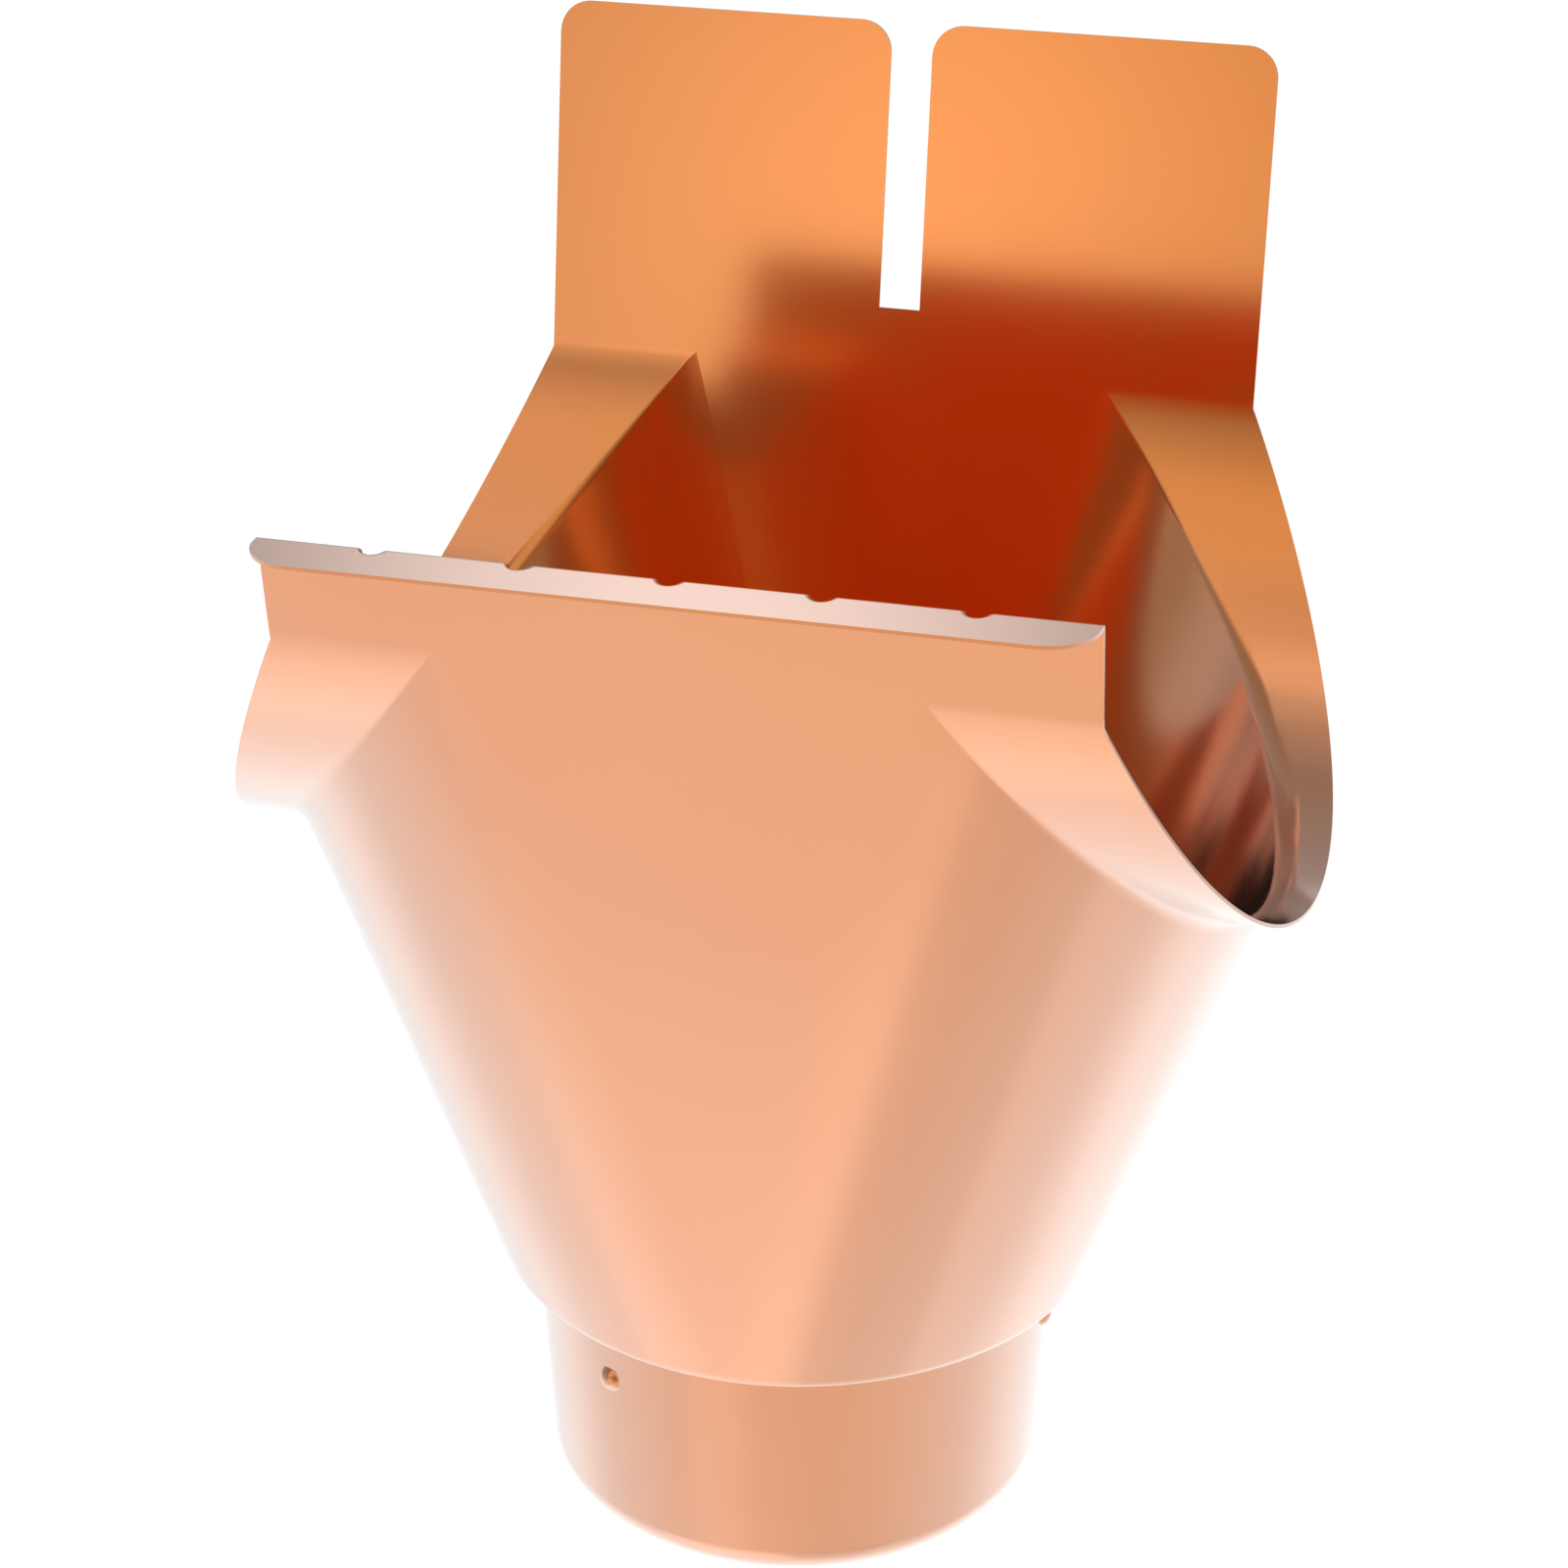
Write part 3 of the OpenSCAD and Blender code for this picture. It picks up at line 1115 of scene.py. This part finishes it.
def add_fade(
    tree: bpy.types.NodeTree, angle: bpy.types.NodeSocket, middle: float, half: float, soft: float
) -> bpy.types.NodeSocket:
    """Adds the nodes of a fade from one to zero as an angle leaves the middle, in degrees.

    Args:
        tree: The node tree to add to.
        angle: The angle.
        middle: The angle round which the fade is one.
        half: How far from the middle it has fallen to a half.
        soft: How far to either side of that it falls.

    Returns:
        The socket that carries the fade.
    """
    maths = partial(add_maths, tree)
    off = maths("ABSOLUTE", maths("WRAP", maths("SUBTRACT", angle, middle), 180.0, -180.0))
    return add_node(
        tree, "ShaderNodeMapRange", {"interpolation_type": "SMOOTHSTEP"}, Value=off,
        From_Min=half - soft, From_Max=half + soft, To_Min=1.0, To_Max=0.0,
    ).outputs[0]


@dataclass(frozen=True)
class Studio:
    """White floor in an even white surround with a few soft panels and shades.

    The floor's half side is in metres. Each level is an elevation in degrees and how bright the
    surround is there.
    """

    floor_half: float = 6.0
    floor_glow: float = 0.93
    floor_matt: str = "#8A8A8A"
    levels: tuple[tuple[float, float], ...] = (
        (-90, 1.24), (-60, 1.22), (-52, 1.14), (-44, 1.02), (-30, 1.01), (-18, 0.85), (-8, 0.52),
        (0, 0.44), (10, 0.40), (60, 0.37), (70, 0.37), (80, 0.50), (86, 0.65), (90, 0.68),
    )
    panels: tuple[SoftPanel, ...] = (
        SoftPanel(39, 29, 7, -58, 12, 4, -0.11),
        SoftPanel(66, 48, 18, -62, 18, 7, -0.13),
        SoftPanel(-28, 32, 10, -58, 11, 4, 0.17),
        SoftPanel(-22, 14, 8, -41, 5, 4, 0.10),
        SoftPanel(160, 42, 24, -44, 11, 7, 0.17),
        SoftPanel(-113, 16, 14, -42, 9, 8, 0.12),
        SoftPanel(-25, 20, 9, 46, 34, 13, 0.56),
        SoftPanel(-45, 45, 15, 77, 8, 6, 0.22),
        SoftPanel(22, 28, 10, 38, 13, 7, 0.46),
        SoftPanel(-20, 22, 8, -6, 12, 4, 0.43),
        SoftPanel(-12.3, 3.5, 4.5, 0.3, 4, 4, 0.75),
        SoftPanel(-163.3, 5, 4.5, 26, 6, 3.5, 0.85),
        SoftPanel(180, 22, 8, 17, 7, 5, 0.14),
        SoftPanel(139, 11, 6, 22, 6, 5, 0.55),
        SoftPanel(-72, 10, 8, 4, 12, 6, 0.13),
    )

    def floor(self) -> bpy.types.Object:
        """Adds the floor, which takes the shadow and shows the metal its white surround.

        Returns:
            The floor.
        """
        half = self.floor_half
        mesh = bpy.data.meshes.new("floor")
        corners = [(-half, -half, 0), (half, -half, 0), (half, half, 0), (-half, half, 0)]
        mesh.from_pydata(corners, [], [(0, 1, 2, 3)])
        piece = bpy.data.objects.new("floor", mesh)
        bpy.context.scene.collection.objects.link(piece)
        made = bpy.data.materials.new("white_floor")
        made.use_nodes = True
        tree = made.node_tree
        tree.nodes.clear()
        ray = add_node(tree, "ShaderNodeLightPath").outputs
        matt = add_node(tree, "ShaderNodeBsdfDiffuse", Color=linear(self.floor_matt)).outputs[0]
        glow = add_node(
            tree, "ShaderNodeEmission", Color=linear("#FFFFFF"), Strength=self.floor_glow
        ).outputs[0]
        white = add_node(tree, "ShaderNodeAddShader", i0=matt, i1=glow).outputs[0]
        seen = add_node(
            tree, "ShaderNodeMixShader", i0=ray["Is Camera Ray"], i1=matt, i2=white
        ).outputs[0]
        open_below = add_node(tree, "ShaderNodeBsdfTransparent").outputs[0]
        both = add_node(
            tree, "ShaderNodeMixShader", i0=ray["Is Glossy Ray"], i1=seen, i2=open_below
        ).outputs[0]
        add_node(tree, "ShaderNodeOutputMaterial", Surface=both)
        mesh.materials.append(made)
        return piece

    def brightness(self, tree: bpy.types.NodeTree) -> bpy.types.NodeSocket:
        """Adds the nodes that give the surround's brightness in each direction.

        Args:
            tree: The world's node tree.

        Returns:
            The socket that carries the brightness.
        """
        maths = partial(add_maths, tree)
        way = add_node(tree, "ShaderNodeTexCoord").outputs["Generated"]
        part = add_node(tree, "ShaderNodeSeparateXYZ", Vector=way).outputs
        azimuth = maths("DEGREES", maths("ARCTAN2", part["X"], maths("MULTIPLY", part["Y"], -1.0)))
        elevation = maths("DEGREES", maths("ARCSINE", part["Z"]))
        height = maths("DIVIDE", maths("ADD", elevation, 90.0), 180.0)
        ramp = add_node(tree, "ShaderNodeValToRGB", Fac=height)
        stops = ramp.color_ramp.elements
        while len(stops) < len(self.levels):
            stops.new(0.5)
        for stop, (level, value) in zip(stops, self.levels):
            stop.position = (level + 90) / 180
            stop.color = (value, value, value, 1.0)
        total = ramp.outputs[0]
        for panel in self.panels:
            across = add_fade(
                tree, azimuth, panel.azimuth, panel.half_width, panel.side_softness
            )
            along = add_fade(
                tree, elevation, panel.elevation, panel.half_height, panel.level_softness
            )
            patch = maths("MULTIPLY", maths("MULTIPLY", across, along), panel.gain)
            total = maths("ADD", total, patch)
        return total

    def world(self) -> None:
        """Sets the surround: full white where the camera looks, its own levels as a light."""
        world = bpy.data.worlds.new("white_surround")
        bpy.context.scene.world = world
        world.use_nodes = True
        tree = world.node_tree
        tree.nodes.clear()
        ray = add_node(tree, "ShaderNodeLightPath").outputs["Is Camera Ray"]
        light, white = (
            add_node(
                tree, "ShaderNodeBackground", Color=linear("#FFFFFF"), Strength=strength
            ).outputs[0]
            for strength in (self.brightness(tree), 1.0)
        )
        mixed = add_node(tree, "ShaderNodeMixShader", i0=ray, i1=light, i2=white).outputs[0]
        add_node(tree, "ShaderNodeOutputWorld", Surface=mixed)

    def build(self) -> bpy.types.Object:
        """Builds the studio.

        Returns:
            Its floor.
        """
        self.world()
        bpy.context.scene.view_settings.view_transform = "Standard"
        return self.floor()


def main() -> None:
    """Builds the outlet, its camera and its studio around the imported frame."""
    logging.basicConfig(level=logging.INFO, format="%(name)s: %(message)s")
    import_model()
    seat = Seat()
    outlet = DrawnOutlet(seat, Funnel(seat), Spigot(), SatinCopper())
    piece = outlet.build()
    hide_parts("outlet_body")
    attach(piece, "root")
    LOG.info("%s: %d faces", piece.name, len(piece.data.polygons))
    ProductCamera().place(outlet.lift)
    floor = Studio().build()


if __name__ == "__main__":
    main()
